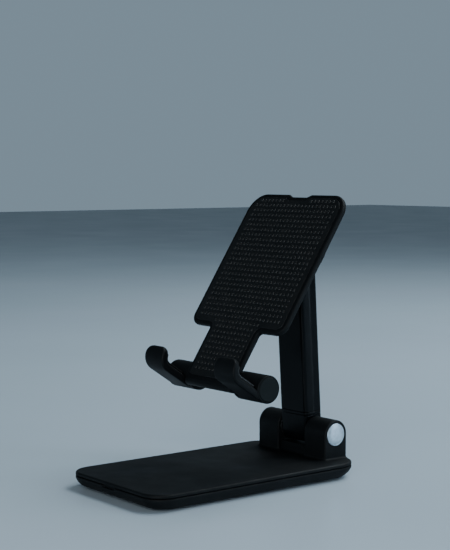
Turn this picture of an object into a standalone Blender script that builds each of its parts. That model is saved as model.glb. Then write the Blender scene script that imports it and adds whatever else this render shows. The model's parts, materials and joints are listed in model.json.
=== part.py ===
"""Folding phone stand: a weighted base, a telescopic arm and a T-shaped panel with two folding hooks.

Run with: blender --background --python part.py

The frame is +X to the stand's right, -Y to its front and +Z up, in metres. The origin is the centre of the
base's footprint, on the table. Each moving body hangs from an empty on its joint's axis, and its pieces are
modelled in that empty's frame:
  arm    origin on the base hinge, +Z along the arm, -Y to its front
  panel  origin on the top hinge, +Z up the panel, -Y out of its front face
  hook   origin on the barrels' axis, directions as the panel's
"""

import math

import bmesh
import bpy
from mathutils import Matrix, Vector

MM = 0.001
GAP = 0.3 * MM  # kept between faces of different pieces
MERGE = 0.00001
X, Y, Z = "X", "Y", "Z"

# Driving dimensions
BASE_WIDTH = 70 * MM
BASE_LENGTH = 119 * MM
BASE_TOP = 7.6 * MM
BASE_SEAM = 5.85 * MM  # height of the groove between the top cover and the lower shell
SHELL_BOTTOM = 0.5 * MM
FRONT_CORNER = 10.5 * MM
REAR_CORNER = 13 * MM

BASE_HINGE_Y = BASE_LENGTH / 2 - 7.5 * MM
BASE_HINGE_Z = BASE_TOP + 11.55 * MM
EAR_RADIUS = 6.88 * MM
EAR_INNER = 9.5 * MM
EAR_OUTER = 24.3 * MM

ARM_LEAN = math.radians(3.4)
ARM_LENGTH = 87 * MM  # base hinge to top hinge
ARM_HALF_WIDTH = 9.7 * MM
ARM_HALF_DEPTH = 5.3 * MM
ARM_RIM = 7.7 * MM  # the lower rim of the arm, above the base hinge
ARM_TRAVEL = 30 * MM

PANEL_LEAN = math.radians(-33.6)
PANEL_WIDTH = 68 * MM
PANEL_TOP = 23.8 * MM  # above the top hinge, along the panel
PANEL_BOTTOM = -50.3 * MM
PANEL_FRONT = -11.2 * MM  # the front face, ahead of the top hinge
PANEL_THICKNESS = 4.1 * MM
FRAME_THICKNESS = 2.6 * MM
SHOULDER_RISE = 0.15 * MM  # the lower edges beside the tongue rise this much towards the sides
TONGUE_HALF_WIDTH = 17.6 * MM
TONGUE_BOTTOM = -78.9 * MM
RIM = 2 * MM

BARREL_Y = -4.1 * MM
BARREL_Z = -74 * MM
BARREL_RADIUS = 6.35 * MM
BARREL_FIXED = (16 * MM, TONGUE_HALF_WIDTH)  # the shoulders that belong to the panel
LUG = (12.6 * MM, 16.2 * MM)  # narrower lugs inside the shoulders, clear of the arm
LUG_RADIUS = 4.9 * MM
BARREL_TURNING = (17.9 * MM, 34 * MM)
HOOK_REACH = 22.8 * MM  # from the barrels' axis to the hook's front
HOOK_TIP = 3.4 * MM  # above the barrels' axis
HOOK_PLATE = 3.4 * MM

# Colour, roughness and metallic value of each finish
FINISHES = {
    "black_plastic": ((0.012, 0.014, 0.018), 0.42, 0.0),
    "silicone": ((0.010, 0.011, 0.013), 0.75, 0.0),
    "silver_cap": ((0.72, 0.74, 0.77), 0.35, 1.0),
    "steel": ((0.45, 0.45, 0.46), 0.30, 1.0),
    "nylon": ((0.60, 0.58, 0.54), 0.55, 0.0),
}


# ---------------------------------------------------------------- scene helpers


def collection(name):
    made = bpy.data.collections.new(name)
    bpy.context.scene.collection.children.link(made)
    return made


def finish(name):
    """The material of one finish, made on first use."""
    material = bpy.data.materials.get(name)
    if material is None:
        colour, roughness, metallic = FINISHES[name]
        material = bpy.data.materials.new(name)
        material.use_nodes = True
        shader = material.node_tree.nodes["Principled BSDF"]
        shader.inputs["Base Color"].default_value = (*colour, 1.0)
        shader.inputs["Roughness"].default_value = roughness
        shader.inputs["Metallic"].default_value = metallic
    return material


def axis_empty(name, parent, location, turn):
    """An empty on a joint's axis, turned by an angle about X in its parent's frame."""
    empty = bpy.data.objects.new(name, None)
    STAND.objects.link(empty)
    empty.parent = parent
    empty.location = location
    empty.rotation_euler = (turn, 0.0, 0.0)
    empty.empty_display_size = 0.01
    return empty


def place(name, mesh, frame):
    """A new object for mesh, in the frame of an empty (or of the base, where frame is None)."""
    made = bpy.data.objects.new(name, mesh)
    STAND.objects.link(made)
    made.parent = frame
    return made


def piece(made, finish_name):
    """Finish a visible piece: its material and its smooth shading."""
    made.data.materials.clear()
    made.data.materials.append(finish(finish_name))
    made.data.shade_smooth()
    made.data.set_sharp_from_angle(angle=math.radians(35))
    return made


def tool(made):
    """Turn an object into a cutter or a joined-on shape."""
    STAND.objects.unlink(made)
    TOOLS.objects.link(made)
    made.hide_render = True
    made.display_type = "WIRE"
    return made


def combine(target, operation, *others):
    """Boolean each of the others with target."""
    for other in others:
        step = target.modifiers.new(other.name, "BOOLEAN")
        step.operation = operation
        step.solver = "EXACT"
        step.object = tool(other)
    return target


def cut(target, *others):
    return combine(target, "DIFFERENCE", *others)


def join(target, *others):
    return combine(target, "UNION", *others)


def keep_common(target, *others):
    return combine(target, "INTERSECT", *others)


# ---------------------------------------------------------------- shape helpers


def rounded(corners, steps=5):
    """The closed outline through corners (a, b, radius), with an arc at each corner that has a radius."""
    points = []
    for i, (a, b, radius) in enumerate(corners):
        here = Vector((a, b))
        if radius == 0:
            points.append(here)
            continue
        before = (Vector(corners[i - 1][:2]) - here).normalized()
        after = (Vector(corners[(i + 1) % len(corners)][:2]) - here).normalized()
        half = before.angle(after) / 2
        centre = here + (before + after).normalized() * radius / math.sin(half)
        first = here + before * radius / math.tan(half) - centre
        sweep = math.pi - 2 * half
        if first.x * (here.y - centre.y) - first.y * (here.x - centre.x) < 0:
            sweep = -sweep
        for k in range(steps + 1):
            points.append(centre + Matrix.Rotation(sweep * k / steps, 2) @ first)
    return points


def rectangle(half_a, half_b, radius, steps=5, middle=(0, 0)):
    a, b = middle
    return rounded(
        [
            (a - half_a, b - half_b, radius),
            (a + half_a, b - half_b, radius),
            (a + half_a, b + half_b, radius),
            (a - half_a, b + half_b, radius),
        ],
        steps,
    )


def circle(radius, middle=(0, 0), steps=16):
    a, b = middle
    turns = [2 * math.pi * (k + 0.5) / steps for k in range(steps)]
    return [Vector((a + radius * math.cos(t), b + radius * math.sin(t))) for t in turns]


# The outline's two directions and its thickness direction, for a shape drawn out along X, Y or Z
DRAWN_ALONG = {
    X: Matrix(((0, 0, 1), (1, 0, 0), (0, 1, 0))).to_4x4(),
    Y: Matrix(((1, 0, 0), (0, 0, -1), (0, 1, 0))).to_4x4(),
    Z: Matrix.Identity(4),
}


def anticlockwise(outline):
    area = sum(a.x * b.y - b.x * a.y for a, b in zip(outline, outline[1:] + outline[:1]))
    return outline if area > 0 else outline[::-1]


def drawn(name, frame, axis, low, high, outline, *holes, rim=0.0):
    """A flat outline with holes, drawn out along an axis from low to high. Outlines lie in YZ, XZ or XY.

    rim rounds the edges of both flat faces, and is used only on an outline without holes.
    """
    data = bpy.data.curves.new(name, "CURVE")
    data.dimensions = "2D"
    data.fill_mode = "BOTH"
    data.extrude = (high - low) / 2 - rim
    data.bevel_depth = rim
    data.bevel_resolution = 1
    data.offset = -rim
    outline = anticlockwise(outline)
    for loop in (outline, *holes):
        spline = data.splines.new("POLY")
        spline.points.add(len(loop) - 1)
        for point, spot in zip(spline.points, loop):
            point.co = (spot.x, spot.y, 0, 1)
        spline.use_cyclic_u = True
    outliner = bpy.data.objects.new(name, data)
    STAND.objects.link(outliner)
    view = bpy.context.evaluated_depsgraph_get()
    mesh = bpy.data.meshes.new_from_object(outliner.evaluated_get(view))
    bpy.data.objects.remove(outliner)
    bpy.data.curves.remove(data)

    along = {X: Vector((1, 0, 0)), Y: Vector((0, 1, 0)), Z: Vector((0, 0, 1))}[axis]
    work = bmesh.new()
    work.from_mesh(mesh)
    bmesh.ops.remove_doubles(work, verts=work.verts, dist=MERGE / 10)
    bmesh.ops.dissolve_limit(work, angle_limit=0.001, verts=work.verts, edges=work.edges)
    move = Matrix.Translation(along * (low + high) / 2) @ DRAWN_ALONG[axis]
    bmesh.ops.transform(work, matrix=move, verts=work.verts)
    bmesh.ops.recalc_face_normals(work, faces=work.faces)
    work.to_mesh(mesh)
    work.free()
    mesh.name = name
    return place(name, mesh, frame)


def round_rim(made, height, width, segments):
    """Round the outer edges that lie at one height."""
    work = bmesh.new()
    work.from_mesh(made.data)
    rim = [
        edge
        for edge in work.edges
        if all(abs(vert.co.z - height) < MERGE for vert in edge.verts)
        and edge.calc_face_angle() > math.radians(30)
    ]
    bmesh.ops.bevel(work, geom=rim, offset=width, segments=segments, profile=0.5, affect="EDGES")
    work.to_mesh(made.data)
    work.free()
    return made


def rod(name, frame, radius, low, high, middle=(0, 0), axis=X, sides=16, rim=0.0):
    """A cylinder along an axis."""
    return drawn(name, frame, axis, low, high, circle(radius, middle, sides), rim=rim)


def block(name, frame, low, high):
    """A box between two corners."""
    mesh = bpy.data.meshes.new(name)
    work = bmesh.new()
    bmesh.ops.create_cube(work, size=1)
    size = Vector(high) - Vector(low)
    middle = (Vector(high) + Vector(low)) / 2
    bmesh.ops.transform(
        work,
        matrix=Matrix.Translation(middle) @ Matrix.Diagonal(size).to_4x4(),
        verts=work.verts,
    )
    work.to_mesh(mesh)
    work.free()
    return place(name, mesh, frame)


def turned(name, frame, profile, location=(0, 0, 0), pointing=Z, steps=12):
    """A solid of revolution. The profile's points (radius, height) run from top to bottom on the outside.

    It starts and ends on the axis, or, for a ring, its last point joins its first. pointing says where its
    top goes.
    """
    mesh = bpy.data.meshes.new(name)
    work = bmesh.new()
    spots = [work.verts.new((radius, 0, height)) for radius, height in profile]
    for first, second in zip(spots, spots[1:]):
        work.edges.new((first, second))
    if profile[0][0] > 0:
        work.edges.new((spots[-1], spots[0]))
    work.to_mesh(mesh)
    work.free()
    made = place(name, mesh, frame)
    made.location = location
    made.rotation_euler = {
        Z: (0, 0, 0),
        X: (0, math.pi / 2, 0),
        "-X": (0, -math.pi / 2, 0),
        Y: (-math.pi / 2, 0, 0),
        "-Z": (math.pi, 0, 0),
        "-Y": (math.pi / 2, 0, 0),
    }[pointing]
    screw = made.modifiers.new("turned", "SCREW")
    screw.angle = 2 * math.pi
    screw.steps = steps
    screw.render_steps = steps
    screw.use_merge_vertices = True
    screw.merge_threshold = MERGE / 10
    return made


def headed(name, frame, head, shank, location, pointing):
    """A bolt or screw: head and shank are (radius, length). Its origin is under the head, on its axis."""
    head_radius, head_length = head
    shank_radius, shank_length = shank
    chamfer = 0.3 * MM
    profile = [
        (0, head_length),
        (head_radius - chamfer, head_length),
        (head_radius, head_length - chamfer),
        (head_radius, 0),
        (shank_radius, 0),
        (shank_radius, chamfer - shank_length),
        (shank_radius - chamfer, -shank_length),
        (0, -shank_length),
    ]
    return piece(turned(name, frame, profile, location, pointing), "steel")


def washer(name, frame, inner, outer, thickness, location, dish=0, finish_name="steel"):
    """A washer square to X, centred on its location. A dish makes it a cone spring washer."""
    half = thickness / 2
    profile = [
        (outer, half - dish / 2),
        (outer, -half - dish / 2),
        (inner, -half + dish / 2),
        (inner, half + dish / 2),
    ]
    return piece(turned(name, frame, profile, location, X), finish_name)


def hexagon_nut(name, frame, across_corners, bore, low, high):
    """A nut on the X axis of its frame."""
    nut = drawn(name, frame, X, low, high, circle(across_corners / 2, steps=6), circle(bore, steps=16))
    return piece(nut, "steel")


# ---------------------------------------------------------------- base


def base_outline(inset=0.0, end_inset=None):
    """The base seen from above, drawn in by inset, or by end_inset at its front and rear."""
    half = BASE_WIDTH / 2 - inset
    end = BASE_LENGTH / 2 - (inset if end_inset is None else end_inset)
    front = FRONT_CORNER - inset
    rear = REAR_CORNER - inset
    return rounded([(-half, -end, front), (half, -end, front), (half, end, rear), (-half, end, rear)], 8)


def foot_pad_outline(margin=0.0):
    """The foot pad from above. It stops short of the shell's curved ends, and more so at the rear."""
    half_width = BASE_WIDTH / 2 - 5 * MM
    half_length = (BASE_LENGTH - FOOT_PAD_FRONT - FOOT_PAD_REAR) / 2
    middle = (0, (FOOT_PAD_FRONT - FOOT_PAD_REAR) / 2)
    return rectangle(half_width + margin, half_length + margin, 6 * MM + margin, middle=middle)


FOOT_PAD_FRONT = 7 * MM  # from the shell's front end to the pad
FOOT_PAD_REAR = 9.6 * MM
BASE_SCREW_SPOTS = [(-25 * MM, -44 * MM), (25 * MM, -44 * MM), (-25 * MM, 36 * MM), (25 * MM, 36 * MM)]
BOSS_RADIUS = 3 * MM
PAD_SEAT = 1.4 * MM  # ceiling of the recess that the foot pad is stuck in
FLOOR_TOP = 2.7 * MM
PLATE_BOTTOM = FLOOR_TOP + GAP
PLATE_TOP = PLATE_BOTTOM + 2.4 * MM
SCREW_HEAD = (2.3 * MM, 0.6 * MM)
SCREW_HEAD_TOP = 2 * MM
SCREW_SHANK_RADIUS = 1.05 * MM
SCREW_TOP = BASE_TOP - 1.2 * MM

SHELL_WALL = 1.8 * MM
SHELL_END_WALL = 5 * MM  # the cavity stays this far from the thin, curved ends
# Each end of the shell from the side: how far its underside rises, over what length, and its two roundings
FRONT_SWEEP = (2.6 * MM, 4.8 * MM, 3.2 * MM, 7 * MM)
REAR_SWEEP = (3 * MM, 7.4 * MM, 3.2 * MM, 10 * MM)

HINGE_BOLT_RADIUS = 2 * MM
HINGE_HEAD_RADIUS = 3.6 * MM
HINGE_POCKET_RADIUS = 4.1 * MM
HINGE_POCKET_FLOOR = 18.6 * MM
CAP_RADIUS = 5.37 * MM
CAP_SEAT = EAR_OUTER - 1.4 * MM
WASHER_RADIUS = 5.6 * MM
SADDLE_TOP = BASE_HINGE_Z - 6.9 * MM  # the solid root between the ears, just under the arm's knuckle


def hinge_ear(side):
    """One ear of the base hinge: a D on its back, with a small flare where it meets the cover."""
    front = BASE_HINGE_Y - EAR_RADIUS
    rear = BASE_HINGE_Y + EAR_RADIUS
    flare = 1.6 * MM
    root = BASE_TOP - 0.8 * MM
    corners = [
        (rear, root, 0),
        (rear, BASE_HINGE_Z + EAR_RADIUS, EAR_RADIUS * 0.9999),
        (front, BASE_HINGE_Z + EAR_RADIUS, EAR_RADIUS * 0.9999),
        (front, BASE_TOP + 0.1 * MM, flare),
        (front - 2 * flare, BASE_TOP + 0.1 * MM, 0),
        (front - 2 * flare, root, 0),
    ]
    low, high = sorted((side * EAR_INNER, side * EAR_OUTER))
    return drawn("hinge_ear", None, X, low, high, rounded(corners, 8), rim=0.4 * MM)


def hinge_saddle():
    """The root that joins the two ears under the knuckle."""
    low = (-EAR_INNER - MM, BASE_HINGE_Y - 5 * MM, BASE_TOP - 0.6 * MM)
    high = (EAR_INNER + MM, BASE_HINGE_Y + EAR_RADIUS - 0.5 * MM, SADDLE_TOP)
    return block("hinge_saddle", None, low, high)


def make_base_top_cover():
    cover = drawn("base_top_cover", None, Z, BASE_SEAM + GAP / 2, BASE_TOP, base_outline())
    round_rim(cover, BASE_TOP, 0.8 * MM, 3)
    join(cover, hinge_ear(-1), hinge_ear(1), hinge_saddle())
    for spot in BASE_SCREW_SPOTS:
        boss_bottom = FLOOR_TOP + GAP
        join(cover, rod("boss", None, BOSS_RADIUS, boss_bottom, BASE_SEAM + 1 * MM, spot, Z))
        pilot = (boss_bottom - MM, SCREW_TOP + GAP)
        cut(cover, rod("pilot", None, SCREW_SHANK_RADIUS + GAP, *pilot, spot, Z, 12))
    hinge = (BASE_HINGE_Y, BASE_HINGE_Z)
    bore = HINGE_BOLT_RADIUS + GAP
    cut(cover, rod("hinge_bore", None, bore, -EAR_OUTER - MM, EAR_OUTER + MM, hinge))
    for side in (-1, 1):
        pocket = sorted((side * HINGE_POCKET_FLOOR, side * (CAP_SEAT + 0.1 * MM)))
        seat = sorted((side * CAP_SEAT, side * (EAR_OUTER + MM)))
        cut(cover, rod("hinge_pocket", None, HINGE_POCKET_RADIUS, *pocket, hinge))
        cut(cover, rod("cap_seat", None, CAP_RADIUS + GAP, *seat, hinge, X, 32))
    return piece(cover, "black_plastic")


def shell_side_view():
    """What the shell keeps, seen from its side: its underside sweeps up at both ends."""
    end = BASE_LENGTH / 2
    low = SHELL_BOTTOM - 0.01 * MM
    front_rise, front_length, front_edge, front_bend = FRONT_SWEEP
    rear_rise, rear_length, rear_edge, rear_bend = REAR_SWEEP
    return rounded(
        [
            (-end, low + front_rise, front_edge),
            (front_length - end, low, front_bend),
            (end - rear_length, low, rear_bend),
            (end, low + rear_rise, rear_edge),
            (end, BASE_TOP, 0),
            (-end, BASE_TOP, 0),
        ]
    )


def make_base_lower_shell():
    """The tray under the cover. Its bottom edges are round, and more so at the front and the rear."""
    top = BASE_SEAM - GAP / 2
    shell = drawn("base_lower_shell", None, Z, SHELL_BOTTOM, top, base_outline())
    round_rim(shell, SHELL_BOTTOM, 4.2 * MM, 5)
    round_rim(shell, top, 0.5 * MM, 2)
    keep_common(shell, drawn("shell_side_view", None, X, -BASE_WIDTH, BASE_WIDTH, shell_side_view()))
    cavity = base_outline(SHELL_WALL, SHELL_END_WALL)
    cut(shell, drawn("shell_cavity", None, Z, FLOOR_TOP, top + MM, cavity))
    cut(shell, drawn("pad_recess", None, Z, 0, PAD_SEAT, foot_pad_outline(GAP)))
    for spot in BASE_SCREW_SPOTS:
        head_pocket = SCREW_HEAD_TOP + GAP
        cut(shell, rod("screw_hole", None, SCREW_SHANK_RADIUS + GAP, MM, FLOOR_TOP + MM, spot, Z, 12))
        cut(shell, rod("head_pocket", None, SCREW_HEAD[0] + GAP, MM, head_pocket, spot, Z))
    notch_front = -BASE_LENGTH / 2
    notch_low = (-4.5 * MM, notch_front - MM, top - 0.9 * MM)
    notch_high = (4.5 * MM, notch_front + 1.0 * MM, top + MM)
    cut(shell, block("finger_notch", None, notch_low, notch_high))
    return piece(shell, "black_plastic")


def make_base_inside():
    holes = [circle(BOSS_RADIUS + GAP, spot) for spot in BASE_SCREW_SPOTS]
    plate_outline = base_outline(4 * MM, SHELL_END_WALL + 2 * MM)
    plate = drawn("base_weight_plate", None, Z, PLATE_BOTTOM, PLATE_TOP, plate_outline, *holes)
    piece(plate, "steel")

    pad = drawn("base_foot_pad", None, Z, 0, PAD_SEAT - GAP, foot_pad_outline())
    piece(pad, "silicone")

    for number, (x, y) in enumerate(BASE_SCREW_SPOTS, 1):
        shank = (SCREW_SHANK_RADIUS, SCREW_TOP - SCREW_HEAD_TOP)
        headed(f"base_screw_{number}", None, SCREW_HEAD, shank, (x, y, SCREW_HEAD_TOP), "-Z")


def make_base_hinge():
    """The bolt, nut, washers and caps, in a frame on the hinge's axis that stays with the base."""
    frame = axis_empty("base_hinge_axis", None, (0, BASE_HINGE_Y, BASE_HINGE_Z), 0)
    head_face = HINGE_POCKET_FLOOR + GAP
    nut_face = -(HINGE_POCKET_FLOOR + 1.5 * MM)
    bolt_end = -22.4 * MM
    shank = (HINGE_BOLT_RADIUS, head_face - bolt_end)
    headed("base_hinge_bolt", frame, (HINGE_HEAD_RADIUS, 2 * MM), shank, (head_face, 0, 0), X)
    hexagon_nut(
        "base_hinge_nut", frame, 2 * 3.7 * MM, HINGE_BOLT_RADIUS + GAP, nut_face - 2 * MM, nut_face
    )
    washer(
        "base_hinge_spring_washer",
        frame,
        HINGE_BOLT_RADIUS + GAP,
        HINGE_HEAD_RADIUS,
        0.5 * MM,
        (-(HINGE_POCKET_FLOOR + 0.75 * MM), 0, 0),
        dish=0.3 * MM,
    )
    for side, word in ((-1, "left"), (1, "right")):
        spot = (side * (EAR_INNER - 0.45 * MM), 0, 0)
        washer(f"base_hinge_washer_{word}", frame, HINGE_BOLT_RADIUS + GAP, WASHER_RADIUS, GAP, spot)
        make_hinge_cap(f"hinge_cap_{word}", frame, side)


def make_hinge_cap(name, frame, side):
    """A satin disc, a little proud of its ear, with a rounded edge."""
    thickness = 1.3 * MM
    edge = 0.35 * MM
    profile = [
        (0, thickness),
        (CAP_RADIUS - edge, thickness),
        (CAP_RADIUS - 0.1 * MM, thickness - 0.1 * MM),
        (CAP_RADIUS, thickness - edge),
        (CAP_RADIUS, 0),
        (0, 0),
    ]
    spot = (side * (CAP_SEAT + GAP), 0, 0)
    return piece(turned(name, frame, profile, spot, X if side > 0 else "-X", 32), "silver_cap")


# ---------------------------------------------------------------- arm

POST_HALF_WIDTH = 6.8 * MM
POST_HALF_DEPTH = 2.9 * MM
HEAD_HALF_WIDTH = 7.9 * MM  # the post's wide upper part, which stops against the collar
HEAD_HALF_DEPTH = 3.9 * MM
POST_TOP = 74 * MM
COLLAR_TOP = 13.2 * MM
HEAD_BOTTOM = COLLAR_TOP + ARM_TRAVEL + GAP
KNUCKLE_HALF_WIDTH = 8.6 * MM
KNUCKLE_RADIUS = 6.3 * MM
SLIDE_PAD = (50 * MM, 68 * MM)  # the friction pad's ends, along the post
SLIDE_PAD_HALF_WIDTH = 5 * MM
TOP_BOLT_RADIUS = 1.6 * MM


def knuckle_side_view():
    """The knuckle from its side: round below, and flush with the arm's front and back above."""
    top = ARM_RIM - GAP
    corner = ARM_HALF_DEPTH * 0.99
    return rounded(
        [
            (-ARM_HALF_DEPTH, top, 0),
            (-ARM_HALF_DEPTH, -KNUCKLE_RADIUS, corner),
            (ARM_HALF_DEPTH, -KNUCKLE_RADIUS, corner),
            (ARM_HALF_DEPTH, top, 0),
        ],
        10,
    )


def make_arm_post(frame):
    """The inner member: a knuckle in the base hinge, a narrow stem and a wider head inside the sleeve."""
    post = drawn(
        "arm_post", frame, Z, 0, POST_TOP, rectangle(POST_HALF_WIDTH, POST_HALF_DEPTH, 1.2 * MM, 4)
    )
    knuckle_span = (-KNUCKLE_HALF_WIDTH, KNUCKLE_HALF_WIDTH)
    knuckle = drawn("post_knuckle", frame, X, *knuckle_span, knuckle_side_view(), rim=0.4 * MM)
    head_outline = rectangle(HEAD_HALF_WIDTH, HEAD_HALF_DEPTH, 0.9 * MM, 3)
    join(post, knuckle, drawn("post_head", frame, Z, HEAD_BOTTOM, POST_TOP - 0.4 * MM, head_outline))
    reach = KNUCKLE_HALF_WIDTH + MM
    cut(post, rod("knuckle_bore", frame, HINGE_BOLT_RADIUS + GAP, -reach, reach))
    pad_front = HEAD_HALF_DEPTH - 0.9 * MM
    pad_bottom, pad_top = SLIDE_PAD
    pocket_low = (-SLIDE_PAD_HALF_WIDTH - GAP, pad_front - GAP, pad_bottom - GAP)
    pocket_high = (SLIDE_PAD_HALF_WIDTH + GAP, HEAD_HALF_DEPTH + MM, pad_top + GAP)
    cut(post, block("pad_pocket", frame, pocket_low, pocket_high))
    piece(post, "black_plastic")

    pad_low = (-SLIDE_PAD_HALF_WIDTH, pad_front, pad_bottom)
    pad_high = (SLIDE_PAD_HALF_WIDTH, HEAD_HALF_DEPTH, pad_top)
    piece(block("slide_friction_pad", frame, pad_low, pad_high), "nylon")


def make_arm_sleeve(frame):
    """The outer member, round-ended at the top hinge, and the collar that closes its mouth."""
    outer = rectangle(ARM_HALF_WIDTH, ARM_HALF_DEPTH, 1.6 * MM, 5)
    collar_face = ARM_RIM + 1.5 * MM
    sleeve = drawn("arm_sleeve", frame, Z, collar_face + GAP, ARM_LENGTH + 6 * MM, outer)
    end = ARM_LENGTH + ARM_HALF_DEPTH
    side_view = rounded(
        [
            (-ARM_HALF_DEPTH - MM, 0, 0),
            (ARM_HALF_DEPTH + MM, 0, 0),
            (ARM_HALF_DEPTH + MM, ARM_LENGTH, 0),
            (ARM_HALF_DEPTH, ARM_LENGTH, 0),
            (ARM_HALF_DEPTH, end, ARM_HALF_DEPTH * 0.9999),
            (-ARM_HALF_DEPTH, end, ARM_HALF_DEPTH * 0.9999),
            (-ARM_HALF_DEPTH, ARM_LENGTH, 0),
            (-ARM_HALF_DEPTH - MM, ARM_LENGTH, 0),
        ],
        10,
    )
    keep_common(sleeve, drawn("sleeve_side_view", frame, X, -12 * MM, 12 * MM, side_view))
    cavity = rectangle(HEAD_HALF_WIDTH + GAP, HEAD_HALF_DEPTH + GAP, 1.2 * MM, 3)
    cut(sleeve, drawn("sleeve_cavity", frame, Z, 5 * MM, POST_TOP + 3 * MM, cavity))
    bore = rod("sleeve_bore", frame, TOP_BOLT_RADIUS + GAP, -12 * MM, 12 * MM, (0, ARM_LENGTH))
    cut(sleeve, bore)
    piece(sleeve, "black_plastic")

    collar = drawn("arm_collar", frame, Z, ARM_RIM, collar_face, outer)
    round_rim(collar, ARM_RIM, 0.4 * MM, 2)
    plug = rectangle(HEAD_HALF_WIDTH, HEAD_HALF_DEPTH, 0.9 * MM, 3)
    join(collar, drawn("collar_plug", frame, Z, collar_face - MM, COLLAR_TOP, plug))
    mouth = rectangle(POST_HALF_WIDTH + GAP, POST_HALF_DEPTH + GAP, 1.5 * MM, 4)
    cut(collar, drawn("collar_mouth", frame, Z, 5 * MM, COLLAR_TOP + MM, mouth))
    piece(collar, "black_plastic")


# ---------------------------------------------------------------- panel

PAD_RECESS = 0.8 * MM
TONGUE_PAD_END = TONGUE_BOTTOM + RIM + 0.8 * MM  # the recess stops short of the tongue's lower rim
HOOK_PIN_RADIUS = 1.9 * MM
FRAME_BACK = PANEL_FRONT + FRAME_THICKNESS
PANEL_BACK = PANEL_FRONT + PANEL_THICKNESS
RIB_HALF_WIDTH = 14.6 * MM  # the thicker middle of the tongue
BAR_TOP = -74.2 * MM
BAR_BOTTOM = -80.4 * MM  # the bar along the tongue's lower edge
BAR_BACK = -6.5 * MM
BRACKET_INNER = ARM_HALF_WIDTH + 0.9 * MM
BRACKET_OUTER = 15.7 * MM
BRACKET_RADIUS = 6.2 * MM
BRACKET_FOOT = BRACKET_RADIUS + 4.2 * MM  # how far the ears reach along the cover
BRACKET_LOBE = 2.4 * MM  # how much further the ears reach below the hinge than above it
BRACKET_SCREW_SPOTS = [(13 * side * MM, 3.5 * end * MM) for side in (-1, 1) for end in (-1, 1)]
BRACKET_SCREW_RADIUS = 0.9 * MM
TOP_HEAD_RADIUS = 2.9 * MM
TOP_POCKET_FLOOR = 13.3 * MM


def panel_outline(inset=0.0, tongue_end=TONGUE_BOTTOM):
    """The T seen from the front, drawn in by inset, with the shallow notch in its top edge."""
    half = PANEL_WIDTH / 2 - inset
    top = PANEL_TOP - inset
    bottom = PANEL_BOTTOM + inset
    tongue = TONGUE_HALF_WIDTH - inset
    notch_mouth = 8 * MM + inset * 0.4
    notch_floor = 5.2 * MM + inset * 0.4
    notch_depth = 1.4 * MM
    right = [
        (notch_floor, top - notch_depth, 1.2 * MM),
        (notch_mouth, top, 1.2 * MM),
        (half, top, 9.5 * MM - inset),
        (half, bottom + SHOULDER_RISE, 5.5 * MM - inset),
        (tongue, bottom, 1.8 * MM + inset),
        (tongue, tongue_end, 2.5 * MM - inset * 0.5),
    ]
    left = [(-a, b, radius) for a, b, radius in reversed(right)]
    return rounded(right + left, 6)


def make_panel_front_frame(frame):
    """The T-shaped frame: a rim around the pad's recess, and a tongue that carries the barrels' shoulders."""
    outline = panel_outline()
    body = drawn("panel_front_frame", frame, Y, PANEL_FRONT, FRAME_BACK, outline, rim=0.6 * MM)
    rib_top = PANEL_BOTTOM - 0.4 * MM
    rib_bottom = TONGUE_BOTTOM + 0.4 * MM
    rib = rounded(
        [
            (-RIB_HALF_WIDTH, rib_top, 0),
            (-RIB_HALF_WIDTH, rib_bottom, 2.5 * MM),
            (RIB_HALF_WIDTH, rib_bottom, 2.5 * MM),
            (RIB_HALF_WIDTH, rib_top, 0),
        ]
    )
    join(body, drawn("tongue_rib", frame, Y, FRAME_BACK - MM, PANEL_BACK, rib))
    bar = rounded(
        [
            (PANEL_FRONT + 0.3 * MM, BAR_TOP, 0),
            (PANEL_FRONT + 0.3 * MM, BAR_BOTTOM, 1.8 * MM),
            (BAR_BACK, BAR_BOTTOM, 1.8 * MM),
            (BAR_BACK, BAR_TOP, 1 * MM),
        ]
    )
    join(body, drawn("tongue_bar", frame, X, -BARREL_FIXED[0] - MM, BARREL_FIXED[0] + MM, bar))
    middle = (BARREL_Y, BARREL_Z)
    for side in (-1, 1):
        lug = sorted(side * edge for edge in LUG)
        shoulder = sorted(side * edge for edge in BARREL_FIXED)
        join(body, rod("lug", frame, LUG_RADIUS, *lug, middle, X, 24))
        join(body, rod("shoulder", frame, BARREL_RADIUS, *shoulder, middle, X, 32))
        hole = sorted((side * (LUG[0] + 0.9 * MM), side * 20 * MM))
        cut(body, rod("pin_hole", frame, HOOK_PIN_RADIUS + GAP, *hole, middle))
    recess = panel_outline(RIM, TONGUE_PAD_END)
    cut(body, drawn("pad_recess", frame, Y, PANEL_FRONT - MM, PANEL_FRONT + PAD_RECESS, recess))
    for spot in BRACKET_SCREW_SPOTS:
        through = (PANEL_FRONT, FRAME_BACK + MM)
        pocket = (PANEL_FRONT, PANEL_FRONT + 1.9 * MM)
        cut(body, rod("screw_hole", frame, BRACKET_SCREW_RADIUS + GAP, *through, spot, Y, 12))
        cut(body, rod("screw_pocket", frame, 2.1 * MM, *pocket, spot, Y))
    return piece(body, "black_plastic")


def bracket_side_view():
    """An ear of the top hinge from its side: a round end on a root that widens towards the cover."""
    root = PANEL_BACK - 0.9 * MM
    step = PANEL_BACK + 0.22 * MM
    neck = -2.5 * MM
    lower = -BRACKET_RADIUS - BRACKET_LOBE
    end_radius = BRACKET_RADIUS * 0.999
    return rounded(
        [
            (root, -BRACKET_FOOT, 0),
            (step, -BRACKET_FOOT, 0),
            (neck, lower, 2 * MM),
            (BRACKET_RADIUS, lower, end_radius),
            (BRACKET_RADIUS, BRACKET_RADIUS, end_radius),
            (neck, BRACKET_RADIUS, 2 * MM),
            (step, BRACKET_FOOT, 0),
            (root, BRACKET_FOOT, 0),
        ],
        8,
    )


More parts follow.
